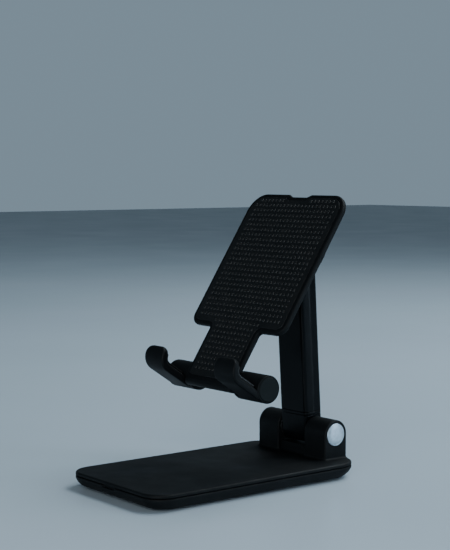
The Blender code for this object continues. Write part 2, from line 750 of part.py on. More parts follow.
def make_panel_back_cover(frame):
    """The thin cover behind the frame, with the two ears of the top hinge."""
    low = FRAME_BACK + GAP
    inset = 2.4 * MM
    middle = (PANEL_TOP + PANEL_BOTTOM) / 2
    half_height = (PANEL_TOP - PANEL_BOTTOM) / 2 - inset
    outline = rectangle(PANEL_WIDTH / 2 - inset, half_height, 5 * MM, middle=(0, middle))
    cover = drawn("panel_back_cover", frame, Y, low, PANEL_BACK, outline, rim=0.5 * MM)
    for side in (-1, 1):
        span = sorted((side * BRACKET_INNER, side * BRACKET_OUTER))
        join(cover, drawn("bracket_ear", frame, X, *span, bracket_side_view(), rim=0.4 * MM))
        pocket = sorted((side * TOP_POCKET_FLOOR, side * (BRACKET_OUTER + MM)))
        cut(cover, rod("bolt_pocket", frame, TOP_HEAD_RADIUS + GAP, *pocket))
    reach = BRACKET_OUTER + MM
    cut(cover, rod("bracket_bore", frame, TOP_BOLT_RADIUS + GAP, -reach, reach))
    for spot in BRACKET_SCREW_SPOTS:
        blind = (low - MM, -4.2 * MM)
        cut(cover, rod("screw_blind", frame, BRACKET_SCREW_RADIUS + GAP, *blind, spot, Y, 12))
    return piece(cover, "black_plastic")


def make_panel_fittings(frame):
    pad_outline = panel_outline(RIM + GAP, TONGUE_PAD_END + GAP)
    pad_back = PANEL_FRONT + PAD_RECESS - GAP
    piece(drawn("panel_pad", frame, Y, PANEL_FRONT - 0.2 * MM, pad_back, pad_outline), "silicone")

    for number, (x, z) in enumerate(BRACKET_SCREW_SPOTS, 1):
        face = PANEL_FRONT + 1.6 * MM
        shank = (BRACKET_SCREW_RADIUS, -4.5 * MM - face)
        headed(f"bracket_screw_{number}", frame, (1.8 * MM, 0.6 * MM), shank, (x, face, z), "-Y")

    head_face = TOP_POCKET_FLOOR + GAP
    shank = (TOP_BOLT_RADIUS, 2 * head_face + 1.6 * MM)
    headed("top_hinge_bolt", frame, (TOP_HEAD_RADIUS, 1.6 * MM), shank, (head_face, 0, 0), X)
    hexagon_nut(
        "top_hinge_nut",
        frame,
        2 * TOP_HEAD_RADIUS,
        TOP_BOLT_RADIUS + GAP,
        -head_face - 1.5 * MM,
        -head_face,
    )
    for side, word in ((-1, "left"), (1, "right")):
        spot = (side * (ARM_HALF_WIDTH + 0.45 * MM), 0, 0)
        washer(f"top_hinge_washer_{word}", frame, TOP_BOLT_RADIUS + GAP, 4.6 * MM, GAP, spot)


# ---------------------------------------------------------------- hooks

HOOK_PIN_HEAD = 3.6 * MM
HOOK_POCKET_FLOOR = 29 * MM
HOOK_EDGES = (19.2 * MM, 33.7 * MM)
HOOK_CORNER = 4.5 * MM
BARREL_CAP_RADIUS = 5.5 * MM
BARREL_CAP_SEAT = 32.9 * MM


def make_hook(frame, side, word):
    """A J-shaped plate on its barrel. side is -1 for the left and 1 for the right."""
    barrel_span = sorted(side * edge for edge in BARREL_TURNING)
    plate_span = sorted(side * edge for edge in HOOK_EDGES)
    floor = -BARREL_RADIUS + 0.02 * MM
    tip_thickness = 3.5 * MM
    hook = rod(f"hook_{word}", frame, BARREL_RADIUS, *barrel_span, sides=32, rim=0.35 * MM)
    profile = rounded(
        [
            (0, floor, 0),
            (-HOOK_REACH, floor, 7 * MM),
            (-HOOK_REACH, HOOK_TIP, 1.7 * MM),
            (tip_thickness - HOOK_REACH, HOOK_TIP, 1.7 * MM),
            (tip_thickness - HOOK_REACH, floor + HOOK_PLATE, 3.8 * MM),
            (0, floor + HOOK_PLATE, 0),
        ],
        7,
    )
    plate = drawn("hook_plate", frame, X, *plate_span, profile, rim=0.5 * MM)
    low, high = plate_span
    front_view = rounded(
        [
            (low - MM, -9 * MM, 0),
            (high + MM, -9 * MM, 0),
            (high + MM, -7 * MM, 0),
            (high, -7 * MM, 0),
            (high, HOOK_TIP + 0.01 * MM, HOOK_CORNER),
            (low, HOOK_TIP + 0.01 * MM, HOOK_CORNER),
            (low, -7 * MM, 0),
            (low - MM, -7 * MM, 0),
        ]
    )
    keep_common(plate, drawn("hook_front_view", frame, Y, -30 * MM, MM, front_view))
    join(hook, plate)

    bore = sorted((side * 15 * MM, side * 34 * MM))
    pocket = sorted((side * HOOK_POCKET_FLOOR, side * 33 * MM))
    seat = sorted((side * BARREL_CAP_SEAT, side * 35 * MM))
    cut(hook, rod("pin_bore", frame, HOOK_PIN_RADIUS + GAP, *bore))
    cut(hook, rod("pin_pocket", frame, HOOK_PIN_HEAD + GAP, *pocket))
    cut(hook, rod("cap_seat", frame, BARREL_CAP_RADIUS + GAP, *seat, sides=28))
    piece(hook, "black_plastic")

    inner = floor + HOOK_PLATE + GAP
    lining = 0.9 * MM
    front = tip_thickness - HOOK_REACH + GAP
    root = -6.7 * MM
    pad_profile = rounded(
        [
            (root, inner, 0),
            (front, inner, 3.5 * MM),
            (front, 1.6 * MM, 0.3 * MM),
            (front + lining, 1.6 * MM, 0.3 * MM),
            (front + lining, inner + lining, 2.6 * MM),
            (root, inner + lining, 0.3 * MM),
        ],
        6,
    )
    pad_span = sorted(side * edge for edge in (HOOK_EDGES[0] + 1.6 * MM, HOOK_EDGES[1] - 1.6 * MM))
    piece(drawn(f"hook_pad_{word}", frame, X, *pad_span, pad_profile), "silicone")

    thickness = 1.1 * MM
    cap_profile = [
        (0, thickness),
        (BARREL_CAP_RADIUS - 0.25 * MM, thickness),
        (BARREL_CAP_RADIUS, thickness - 0.25 * MM),
        (BARREL_CAP_RADIUS, 0),
        (0, 0),
    ]
    spot = (side * (BARREL_CAP_SEAT + GAP), 0, 0)
    towards = X if side > 0 else "-X"
    piece(turned(f"barrel_cap_{word}", frame, cap_profile, spot, towards, 28), "black_plastic")


def make_hook_pin(frame, side, word):
    """The pin and its spring washer, which stay with the panel."""
    spring_middle = HOOK_POCKET_FLOOR + 0.65 * MM
    head_face = HOOK_POCKET_FLOOR + 1.3 * MM
    pin_end = LUG[0] + 1.2 * MM
    spot = (side * head_face, BARREL_Y, BARREL_Z)
    shank = (HOOK_PIN_RADIUS, head_face - pin_end)
    towards = X if side > 0 else "-X"
    headed(f"hook_pin_{word}", frame, (HOOK_PIN_HEAD, 1.1 * MM), shank, spot, towards)
    washer(
        f"hook_spring_{word}",
        frame,
        HOOK_PIN_RADIUS + GAP,
        HOOK_PIN_HEAD,
        0.4 * MM,
        (side * spring_middle, BARREL_Y, BARREL_Z),
        dish=0.3 * MM * side,
    )


# ---------------------------------------------------------------- assembly

for old in list(bpy.data.objects):
    bpy.data.objects.remove(old)

STAND = collection("phone_stand")
TOOLS = collection("phone_stand_tools")

make_base_top_cover()
make_base_lower_shell()
make_base_inside()
make_base_hinge()

arm = axis_empty("arm_fold_axis", None, (0, BASE_HINGE_Y, BASE_HINGE_Z), ARM_LEAN)
make_arm_post(arm)
make_arm_sleeve(arm)

panel = axis_empty("panel_tilt_axis", arm, (0, 0, ARM_LENGTH), PANEL_LEAN - ARM_LEAN)
make_panel_front_frame(panel)
make_panel_back_cover(panel)
make_panel_fittings(panel)

barrels = axis_empty("hook_fold_axis", panel, (0, BARREL_Y, BARREL_Z), 0)
for hook_side, hook_word in ((-1, "left"), (1, "right")):
    make_hook(barrels, hook_side, hook_word)
    make_hook_pin(panel, hook_side, hook_word)
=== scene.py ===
"""Looks of the folding phone stand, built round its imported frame.

Shapes are drawn in millimetres and scaled to metres when their mesh is made. Each is drawn in the directions
of the part it belongs to:
  BASE     the frame's own directions, origin on the table
  ARM      origin on the base hinge, +Z along the arm
  PANEL    origin on the top hinge, +Z up the panel, -Y out of its face
  BARRELS  origin on the axis of the hooks, directions as the panel's
"""

import json
import math

import bmesh
import bpy
from mathutils import Matrix, Vector


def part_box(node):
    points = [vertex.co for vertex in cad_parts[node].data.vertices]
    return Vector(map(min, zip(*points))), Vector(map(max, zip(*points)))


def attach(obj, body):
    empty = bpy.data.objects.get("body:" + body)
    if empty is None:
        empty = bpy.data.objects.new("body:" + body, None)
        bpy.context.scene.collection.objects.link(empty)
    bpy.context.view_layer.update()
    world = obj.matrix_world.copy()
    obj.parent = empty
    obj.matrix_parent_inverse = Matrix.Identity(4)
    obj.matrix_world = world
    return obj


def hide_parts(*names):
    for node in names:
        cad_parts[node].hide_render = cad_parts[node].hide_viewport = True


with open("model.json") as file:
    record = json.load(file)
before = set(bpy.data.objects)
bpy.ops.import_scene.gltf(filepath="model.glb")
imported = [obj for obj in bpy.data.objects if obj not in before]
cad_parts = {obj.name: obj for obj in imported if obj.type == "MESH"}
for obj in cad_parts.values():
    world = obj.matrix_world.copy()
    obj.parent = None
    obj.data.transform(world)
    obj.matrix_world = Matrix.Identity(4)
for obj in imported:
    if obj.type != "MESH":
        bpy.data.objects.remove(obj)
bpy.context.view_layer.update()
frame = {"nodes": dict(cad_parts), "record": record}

TO_METRES = Matrix.Scale(0.001, 4)
GAP = 0.3  # between pieces that touch in the real stand
OVERLAP = 0.8  # how far a shape reaches into the one it joins
POINT = 0.05  # radius of the small flat where a turned end closes
NEARLY = 0.999  # two corners of a half round stay apart, so that no two points meet
X, Y, Z = "X", "Y", "Z"
SIDES = ((-1, "left"), (1, "right"))

# ---------------------------------------------------------------- where things are

JOINTS = {joint["name"]: joint for joint in frame["record"]["behaviour"]["joints"]}
MOUNTS = {mount["name"]: mount for mount in frame["record"]["mounts"]}


def set_at(joint, turn):
    """The place of a part that turns about a joint and leans by turn, about X."""
    return Matrix.Translation(JOINTS[joint]["pos_m"]) @ Matrix.Rotation(turn, 4, X)


arm_direction = Vector(JOINTS["arm_extend"]["axis"])
panel_normal = Vector(MOUNTS["panel_face"]["axis"])
ARM_LEAN = math.atan2(-arm_direction.y, arm_direction.z)
PANEL_LEAN = math.atan2(-panel_normal.z, -panel_normal.y)

BASE = Matrix.Identity(4)
ARM = set_at("arm_fold", ARM_LEAN)
PANEL = set_at("panel_tilt", PANEL_LEAN)
BARRELS = set_at("hook_left_fold", PANEL_LEAN)

shell_low, shell_high = (Vector(corner) * 1000 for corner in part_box("base_lower_shell"))
pad_low, pad_high = (Vector(corner) * 1000 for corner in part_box("base_foot_pad"))
base_hinge = Vector(JOINTS["arm_fold"]["pos_m"]) * 1000
top_hinge = Vector(JOINTS["panel_tilt"]["pos_m"]) * 1000
ARM_LENGTH = (top_hinge - base_hinge).length
ARM_TRAVEL = JOINTS["arm_extend"]["range_m"][1] * 1000

# ---------------------------------------------------------------- shapes


def rounded(corners, steps=10):
    """The closed outline through corners (a, b, radius), with an arc at each corner that has a radius."""
    points = []
    for i, (a, b, radius) in enumerate(corners):
        here = Vector((a, b))
        if radius == 0:
            points.append(here)
            continue
        before = (Vector(corners[i - 1][:2]) - here).normalized()
        after = (Vector(corners[(i + 1) % len(corners)][:2]) - here).normalized()
        half = before.angle(after) / 2
        centre = here + (before + after).normalized() * radius / math.sin(half)
        first = here + before * radius / math.tan(half) - centre
        sweep = math.pi - 2 * half
        if first.x * (here.y - centre.y) - first.y * (here.x - centre.x) < 0:
            sweep = -sweep
        for k in range(steps + 1):
            points.append(centre + Matrix.Rotation(sweep * k / steps, 2) @ first)
    return points


def rectangle(half_a, half_b, radius, steps=8, middle=(0, 0)):
    a, b = middle
    return rounded(
        [
            (a - half_a, b - half_b, radius),
            (a + half_a, b - half_b, radius),
            (a + half_a, b + half_b, radius),
            (a - half_a, b + half_b, radius),
        ],
        steps,
    )


def circle(radius, middle=(0, 0), steps=48):
    a, b = middle
    turns = [2 * math.pi * (k + 0.5) / steps for k in range(steps)]
    return [Vector((a + radius * math.cos(t), b + radius * math.sin(t))) for t in turns]


def anticlockwise(outline):
    area = sum(a.x * b.y - b.x * a.y for a, b in zip(outline, outline[1:] + outline[:1]))
    return outline if area > 0 else outline[::-1]


# The outline's two directions and its height, for a shape drawn out along X, Y or Z
DRAWN_ALONG = {
    X: Matrix(((0, 0, 1), (1, 0, 0), (0, 1, 0))).to_4x4(),
    Y: Matrix(((1, 0, 0), (0, 0, 1), (0, 1, 0))).to_4x4(),
    Z: Matrix.Identity(4),
}


def placed(name, mesh, place):
    made = bpy.data.objects.new(name, mesh)
    bpy.context.scene.collection.objects.link(made)
    made.matrix_world = place
    return made


def drawn(name, place, axis, low, high, outline, rim=0.0):
    """A flat outline drawn out along an axis from low to high. rim rounds the edges of both flat faces."""
    data = bpy.data.curves.new(name, "CURVE")
    data.dimensions = "2D"
    data.fill_mode = "BOTH"
    data.extrude = (high - low) / 2 - rim
    data.bevel_depth = rim
    data.bevel_resolution = 3
    data.offset = -rim
    outline = anticlockwise(outline)
    spline = data.splines.new("POLY")
    spline.points.add(len(outline) - 1)
    for point, spot in zip(spline.points, outline):
        point.co = (spot.x, spot.y, 0, 1)
    spline.use_cyclic_u = True
    outliner = bpy.data.objects.new(name, data)
    bpy.context.scene.collection.objects.link(outliner)
    view = bpy.context.evaluated_depsgraph_get()
    mesh = bpy.data.meshes.new_from_object(outliner.evaluated_get(view))
    bpy.data.objects.remove(outliner)
    bpy.data.curves.remove(data)

    middle = Matrix.Translation((0, 0, (low + high) / 2))
    work = bmesh.new()
    work.from_mesh(mesh)
    bmesh.ops.remove_doubles(work, verts=work.verts, dist=0.001)
    bmesh.ops.dissolve_limit(work, angle_limit=0.001, verts=work.verts, edges=work.edges)
    bmesh.ops.transform(work, matrix=TO_METRES @ DRAWN_ALONG[axis] @ middle, verts=work.verts)
    bmesh.ops.recalc_face_normals(work, faces=work.faces)
    work.to_mesh(mesh)
    work.free()
    return placed(name, mesh, place)


def skin(name, place, rings):
    """A closed skin over rings of 3-D points, each with as many points as the next."""
    mesh = bpy.data.meshes.new(name)
    work = bmesh.new()
    loops = [[work.verts.new(point) for point in ring] for ring in rings]
    for low, high in zip(loops, loops[1:]):
        for i in range(len(low)):
            work.faces.new((low[i - 1], low[i], high[i], high[i - 1]))
    ends = [work.faces.new(loops[0]), work.faces.new(loops[-1])]
    bmesh.ops.triangulate(work, faces=ends)
    bmesh.ops.transform(work, matrix=TO_METRES, verts=work.verts)
    bmesh.ops.recalc_face_normals(work, faces=work.faces)
    work.to_mesh(mesh)
    work.free()
    return placed(name, mesh, place)


def lofted(name, place, axis, levels):
    """A skin over flat outlines, each at its own height: levels are (outline, height)."""
    turn = DRAWN_ALONG[axis]
    return skin(name, place, [[turn @ Vector((p.x, p.y, h)) for p in outline] for outline, h in levels])


def turned(name, place, profile, steps=64):
    """A solid of revolution about X. The profile is (radius, x) from one end to the other."""
    return lofted(name, place, X, [(circle(radius, steps=steps), x) for radius, x in profile])


def rod(name, place, radius, low, high, middle=(0, 0), axis=X, rim=0.0):
    return drawn(name, place, axis, low, high, circle(radius, middle), rim)


def block(name, place, low, high):
    a, b = (low[0] + high[0]) / 2, (low[1] + high[1]) / 2
    outline = rectangle(high[0] - a, high[1] - b, 0, middle=(a, b))
    return drawn(name, place, Z, low[2], high[2], outline)


def shaped(target, *steps):
    """Add and cut shapes, in order: each step is ("UNION" or "DIFFERENCE", shape)."""
    for operation, other in steps:
        step = target.modifiers.new(other.name, "BOOLEAN")
        step.operation = operation
        step.solver = "EXACT"
        step.object = other
    view = bpy.context.evaluated_depsgraph_get()
    mesh = bpy.data.meshes.new_from_object(target.evaluated_get(view))
    target.modifiers.clear()
    target.data = mesh
    for _, other in steps:
        bpy.data.objects.remove(other)
    return target


def plus(*others):
    return [("UNION", other) for other in others]


def minus(*others):
    return [("DIFFERENCE", other) for other in others]


# ---------------------------------------------------------------- materials


class Surface:
    """A material under construction: its shader, and texture nodes in the object's own coordinates."""

    def __init__(self, name):
        self.material = bpy.data.materials.new(name)
        self.material.use_nodes = True
        self.tree = self.material.node_tree
        self.shader = self.tree.nodes["Principled BSDF"]
        self.coordinates = self.tree.nodes.new("ShaderNodeTexCoord").outputs["Object"]

    def link(self, source, target):
        self.tree.links.new(source, target)

    def noise(self, scale, detail=3.0, stretch=None):
        node = self.tree.nodes.new("ShaderNodeTexNoise")
        node.inputs["Scale"].default_value = scale
        node.inputs["Detail"].default_value = detail
        source = self.coordinates
        if stretch is not None:
            mapping = self.tree.nodes.new("ShaderNodeMapping")
            mapping.inputs["Scale"].default_value = stretch
            self.link(source, mapping.inputs["Vector"])
            source = mapping.outputs["Vector"]
        self.link(source, node.inputs["Vector"])
        return node.outputs["Fac"]

    def ramp(self, source, low, high, start=0.35, end=0.65):
        """Grey levels or colours between low and high."""
        node = self.tree.nodes.new("ShaderNodeValToRGB")
        first, last = node.color_ramp.elements
        first.position, last.position = start, end
        first.color = (*low, 1) if isinstance(low, tuple) else (low, low, low, 1)
        last.color = (*high, 1) if isinstance(high, tuple) else (high, high, high, 1)
        self.link(source, node.inputs["Fac"])
        return node.outputs["Color"]

    def bump(self, source, strength, distance, under=None):
        node = self.tree.nodes.new("ShaderNodeBump")
        node.inputs["Strength"].default_value = strength
        node.inputs["Distance"].default_value = distance
        self.link(source, node.inputs["Height"])
        if under is not None:
            self.link(under, node.inputs["Normal"])
        return node.outputs["Normal"]

    def set(self, **values):
        for name, value in values.items():
            self.shader.inputs[name.replace("_", " ")].default_value = value

    def feed(self, **sources):
        for name, source in sources.items():
            self.link(source, self.shader.inputs[name.replace("_", " ")])


def moulded_plastic(name, dark, light, rough=(0.5, 0.62), gloss=0.14):
    """Satin black ABS: a fine spark-eroded grain, cloudy gloss and a few faint rubbed patches."""
    surface = Surface(name)
    cloud = surface.noise(55, 4)
    patches = surface.noise(140, 6, (1.0, 2.2, 1.0))
    grain = surface.noise(6500, 2)
    surface.feed(
        Base_Color=surface.ramp(patches, dark, light, 0.45, 0.8),
        Roughness=surface.ramp(cloud, rough[0], rough[1]),
        Normal=surface.bump(grain, 0.22, 0.00006),
    )
    surface.set(Specular_IOR_Level=gloss)
    return surface.material


def silicone(name, dark, light):
    """Soft black rubber: dusty, with almost no gloss and a slight sheen."""
    surface = Surface(name)
    dust = surface.noise(320, 6)
    grain = surface.noise(5200, 2)
    surface.feed(
        Base_Color=surface.ramp(dust, dark, light, 0.4, 0.75),
        Roughness=surface.ramp(surface.noise(90, 3), 0.34, 0.46),
        Normal=surface.bump(grain, 0.25, 0.00005),
    )
    surface.set(Specular_IOR_Level=0.45, Sheen_Weight=0.02, Sheen_Roughness=0.4)
    return surface.material


def satin_silver(name):
    """A spun and anodised disc: fine turning rings about the object's X axis, and a soft mottle."""
    surface = Surface(name)
    mottle = surface.noise(700, 4)
    rings = surface.tree.nodes.new("ShaderNodeTexWave")
    rings.wave_type = "RINGS"
    rings.rings_direction = "X"
    rings.inputs["Scale"].default_value = 1600
    rings.inputs["Distortion"].default_value = 1.2
    rings.inputs["Detail"].default_value = 2
    surface.link(surface.coordinates, rings.inputs["Vector"])
    surface.feed(
        Base_Color=surface.ramp(mottle, (0.46, 0.55, 0.63), (0.60, 0.70, 0.79), 0.3, 0.7),
        Roughness=surface.ramp(mottle, 0.34, 0.46),
        Normal=surface.bump(rings.outputs["Fac"], 0.12, 0.00003),
    )
    surface.set(Metallic=0.75)
    return surface.material


def plated_steel(name, shade):
    """Zinc-plated steel with fine turning marks."""
    surface = Surface(name)
    marks = surface.noise(900, 3, (9.0, 1.0, 1.0))
    surface.feed(
        Base_Color=surface.ramp(surface.noise(260, 3), tuple(0.82 * c for c in shade), shade),
        Roughness=surface.ramp(marks, 0.26, 0.42),
        Normal=surface.bump(marks, 0.1, 0.00003),
    )
    surface.set(Metallic=1.0)
    return surface.material


def nylon(name):
    surface = Surface(name)
    surface.feed(
        Base_Color=surface.ramp(surface.noise(400, 3), (0.55, 0.53, 0.48), (0.66, 0.64, 0.59)),
        Roughness=surface.ramp(surface.noise(300, 2), 0.45, 0.6),
        Normal=surface.bump(surface.noise(4000, 2), 0.2, 0.00005),
    )
    surface.set(Subsurface_Weight=0.05)
    return surface.material


BASE_PLASTIC = moulded_plastic("base_plastic", (0.0036, 0.0048, 0.0056), (0.0068, 0.0080, 0.0088))
ARM_PLASTIC = moulded_plastic(
    "arm_plastic", (0.0026, 0.0036, 0.0044), (0.0038, 0.0048, 0.0058), rough=(0.16, 0.22), gloss=0.09
)
PANEL_PLASTIC = moulded_plastic("panel_plastic", (0.0030, 0.0040, 0.0048), (0.0056, 0.0066, 0.0074))
CAP_PLASTIC = moulded_plastic("cap_plastic", (0.0046, 0.0074, 0.0080), (0.0072, 0.0102, 0.0110), (0.52, 0.62))
PAD_RUBBER = silicone("pad_rubber", (0.0022, 0.0026, 0.0030), (0.0060, 0.0062, 0.0062))
FOOT_RUBBER = silicone("foot_rubber", (0.0060, 0.0064, 0.0068), (0.0100, 0.0102, 0.0104))
SILVER = satin_silver("satin_silver")
STEEL = plated_steel("plated_steel", (0.52, 0.53, 0.55))
NYLON = nylon("natural_nylon")

BY_SLOT = {
    "black_plastic": BASE_PLASTIC,
    "silicone": FOOT_RUBBER,
    "silver_cap": SILVER,
    "steel": STEEL,
    "nylon": NYLON,
}
SLOT_OF = {part["node"]: part["material_slot"] for part in frame["record"]["subparts"]}
BODY_OF = {node: body for body, nodes in frame["record"]["behaviour"]["bodies"].items() for node in nodes}


def paint(made, material):
    made.data.materials.clear()
    made.data.materials.append(material)


def finished(made, node, material, sharp=32):
    """Shade a piece, give it its material, and let it stand for its CAD node on that node's body."""
    paint(made, material)
    made.data.shade_smooth()
    made.data.set_sharp_from_angle(angle=math.radians(sharp))
    shading = made.modifiers.new("even_shading", "WEIGHTED_NORMAL")
    shading.keep_sharp = True
    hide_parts(node)
    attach(made, BODY_OF[node])
    return made


# ---------------------------------------------------------------- base

BASE_TOP = 7.6
FRONT_CORNER = 10.5
REAR_CORNER = 13
COVER_UNDERSIDE = 6.0
COVER_EDGE = 0.9
SHELL_LIP = 5.7
SHELL_LIP_EDGE = 0.55
SHELL_ROUND = 4.4  # height of the curve under the sides
SHELL_TUCK = (4.2, 5.0, 8.6)  # how far in the underside starts at the sides, front and rear
SHELL_SWEEP = 0.66  # below 1, so that the ends draw in sooner than the sides
SHELL_WALL = 1.8
SHELL_END_WALL = 5
SHELL_FLOOR = 2.7
NOTCH_HALF = 4.5
NOTCH_DEPTH = 1.0
NOTCH_LEFT_BY = 1
FOOT_PAD_CORNER = 6
EAR = {"radius": 6.88, "inner": 9.5, "outer": 24.3, "rim": 0.7}
FOOT_FILLET = 1.3
SCREW_SPOTS = [(-25, -44), (25, -44), (-25, 36), (25, 36)]
SCREW_RADIUS = 1.35
SCREW_HEAD = {"radius": 2.6, "seat": 2.3}
SCREW_END = 6.7
BOSS_RADIUS = 3
BOSS_FOOT = 3
BASE_BOLT_BORE = 2.3
BOLT_HEAD_POCKET = {"radius": 4.1, "seat": 18.6}
CAP_RADIUS = 5.37
CAP_SEAT = EAR["outer"] - 1.4
CAP_HEIGHT = 1.32
SADDLE_FRONT = base_hinge.y - 5
SADDLE_REAR = base_hinge.y + EAR["radius"] - 0.5
SADDLE_TOP = base_hinge.z - 6.9


def base_outline(side=0.0, front=0.0, rear=None):
    """The base from above, drawn in by different amounts at its sides, front and rear."""
    rear = front if rear is None else rear
    half = shell_high.x - side
    near = shell_low.y + front
    far = shell_high.y - rear
    front_radius = FRONT_CORNER - (side + front) / 2
    rear_radius = REAR_CORNER - (side + rear) / 2
    corners = [
        (-half, near, front_radius),
        (half, near, front_radius),
        (half, far, rear_radius),
        (-half, far, rear_radius),
    ]
    return rounded(corners, 16)


def quarter(steps):
    """(distance in, distance up) of the points of a rounded edge of radius 1, from its foot up."""
    turns = [math.pi / 2 * k / steps for k in range(steps + 1)]
    return [(1 - math.sin(t), 1 - math.cos(t)) for t in turns]


def ear(side):
    radius = EAR["radius"]
    front = base_hinge.y - radius
    rear = base_hinge.y + radius
    top = base_hinge.z + radius
    root = BASE_TOP - OVERLAP
    half_round = radius * NEARLY
    corners = [(rear, root, 0), (rear, top, half_round), (front, top, half_round), (front, root, 0)]
    low, high = sorted((side * EAR["inner"], side * EAR["outer"]))
    return drawn("ear", BASE, X, low, high, rounded(corners, 24), EAR["rim"])


def ear_fillet(side):
    """The soft flare where an ear meets the cover, kept off the cover's rear edge.

    Its top lies a little inside the ear, so that no two of their faces coincide.
    """
    sunk = 0.05
    low, high = sorted((side * (EAR["inner"] + sunk), side * (EAR["outer"] - sunk)))
    front = base_hinge.y - EAR["radius"] + sunk
    rear = base_hinge.y + EAR["radius"] - sunk
    rim = EAR["rim"] + 0.02
    under_cover = (1.0, -0.4)
    levels = []
    for out, up in [under_cover] + quarter(8):
        spread = out * FOOT_FILLET
        rear_spread = spread / 4
        corners = [
            (low - spread, front - spread, rim + spread),
            (high + spread, front - spread, rim + spread),
            (high + spread, rear + rear_spread, rim + spread / 2),
            (low - spread, rear + rear_spread, rim + spread / 2),
        ]
        levels.append((rounded(corners, 6), BASE_TOP + up * FOOT_FILLET))
    return lofted("ear_fillet", BASE, Z, levels)


def saddle():
    """The solid root between the ears, just under the arm's knuckle."""
    half = EAR["inner"] + 1
    root = BASE_TOP - OVERLAP
    return block("saddle", BASE, (-half, SADDLE_FRONT, root), (half, SADDLE_REAR, SADDLE_TOP))


def make_base_top_cover():
    """The flat cover with both ears, the saddle between them and the bosses for the screws under it."""
    bevel = 0.25
    levels = [(base_outline(bevel, bevel), COVER_UNDERSIDE), (base_outline(), COVER_UNDERSIDE + 0.2)]
    for inward, up in quarter(6)[::-1]:
        inset = COVER_EDGE * inward
        levels.append((base_outline(inset, inset), BASE_TOP - COVER_EDGE * up))
    cover = lofted("cover", BASE, Z, levels)
    hinge = (base_hinge.y, base_hinge.z)
    past_ear = EAR["outer"] + 2
    steps = plus(ear(-1), ear(1), ear_fillet(-1), ear_fillet(1), saddle())
    for spot in SCREW_SPOTS:
        steps += plus(rod("boss", BASE, BOSS_RADIUS, BOSS_FOOT, COVER_UNDERSIDE + OVERLAP, spot, Z))
        steps += minus(rod("pilot", BASE, SCREW_RADIUS, BOSS_FOOT - 1, SCREW_END, spot, Z))
    steps += minus(rod("bore", BASE, BASE_BOLT_BORE, -past_ear, past_ear, hinge))
    for side, _ in SIDES:
        pocket = sorted((side * BOLT_HEAD_POCKET["seat"], side * (CAP_SEAT + 0.1)))
        seat = sorted((side * CAP_SEAT, side * past_ear))
        steps += minus(
            rod("pocket", BASE, BOLT_HEAD_POCKET["radius"], *pocket, hinge),
            rod("seat", BASE, CAP_RADIUS + 0.2, *seat, hinge),
        )
    return finished(shaped(cover, *steps), "base_top_cover", BASE_PLASTIC)


def make_base_lower_shell():
    """The bulged tray. Its underside curves up at the sides and sweeps up further at the front and rear."""
    side, front, rear = SHELL_TUCK
    levels = []
    for inward, up in quarter(12):
        sweep = inward**SHELL_SWEEP
        outline = base_outline(side * inward, front * sweep, rear * sweep)
        levels.append((outline, shell_low.z + SHELL_ROUND * up))
    for inward, up in quarter(5)[::-1]:
        inset = SHELL_LIP_EDGE * inward
        levels.append((base_outline(inset, inset), SHELL_LIP - SHELL_LIP_EDGE * up))
    shell = lofted("shell", BASE, Z, levels)
    tray = base_outline(SHELL_WALL, SHELL_END_WALL)
    cavity = lofted("cavity", BASE, Z, [(tray, SHELL_FLOOR), (tray, SHELL_LIP + 1)])
    recess = drawn("recess", BASE, Z, pad_low.z - 1, pad_high.z + GAP, foot_pad_outline(GAP))
    notch = rectangle(NOTCH_HALF, NOTCH_DEPTH, 0.6, middle=(-NOTCH_LEFT_BY, shell_low.y))
    steps = minus(cavity, recess, drawn("notch", BASE, Z, SHELL_LIP - NOTCH_DEPTH, SHELL_LIP + 1, notch))
    for spot in SCREW_SPOTS:
        steps += minus(
            rod("hole", BASE, SCREW_RADIUS, pad_high.z, SHELL_FLOOR + 1, spot, Z),
            rod("head_pocket", BASE, SCREW_HEAD["radius"], pad_high.z, SCREW_HEAD["seat"], spot, Z),
        )
    return finished(shaped(shell, *steps), "base_lower_shell", BASE_PLASTIC)


def foot_pad_outline(margin=0.0):
    middle = (pad_low + pad_high) / 2
    half = (pad_high - pad_low) / 2
    return rectangle(half.x + margin, half.y + margin, FOOT_PAD_CORNER + margin, middle=(middle.x, middle.y))


def make_foot_pad():
    pad = drawn("foot_pad", BASE, Z, pad_low.z, pad_high.z, foot_pad_outline(), 0.3)
    return finished(pad, "base_foot_pad", FOOT_RUBBER)


def make_hinge_cap(side, word):
    """A slightly domed disc with a rounded edge and a fine turned groove near it."""
    edge = [(0, 0.42), (0.06, 0.26), (0.2, 0.13), (0.42, 0.07)]
    groove = [(0.7, 0.05), (0.78, 0.12), (0.9, 0.04)]
    profile = [(CAP_RADIUS, 0)]
    profile += [(CAP_RADIUS - inward, CAP_HEIGHT - down) for inward, down in edge + groove]
    profile += [(3.0, CAP_HEIGHT), (1.5, CAP_HEIGHT + 0.03), (POINT, CAP_HEIGHT + 0.04)]
    seat = CAP_SEAT + GAP
    place = Matrix.Translation(base_hinge * 0.001)
    cap = turned(f"silver_cap_{word}", place, [(radius, side * (seat + x)) for radius, x in profile], 96)
    return finished(cap, f"hinge_cap_{word}", SILVER, 40)


# ---------------------------------------------------------------- arm

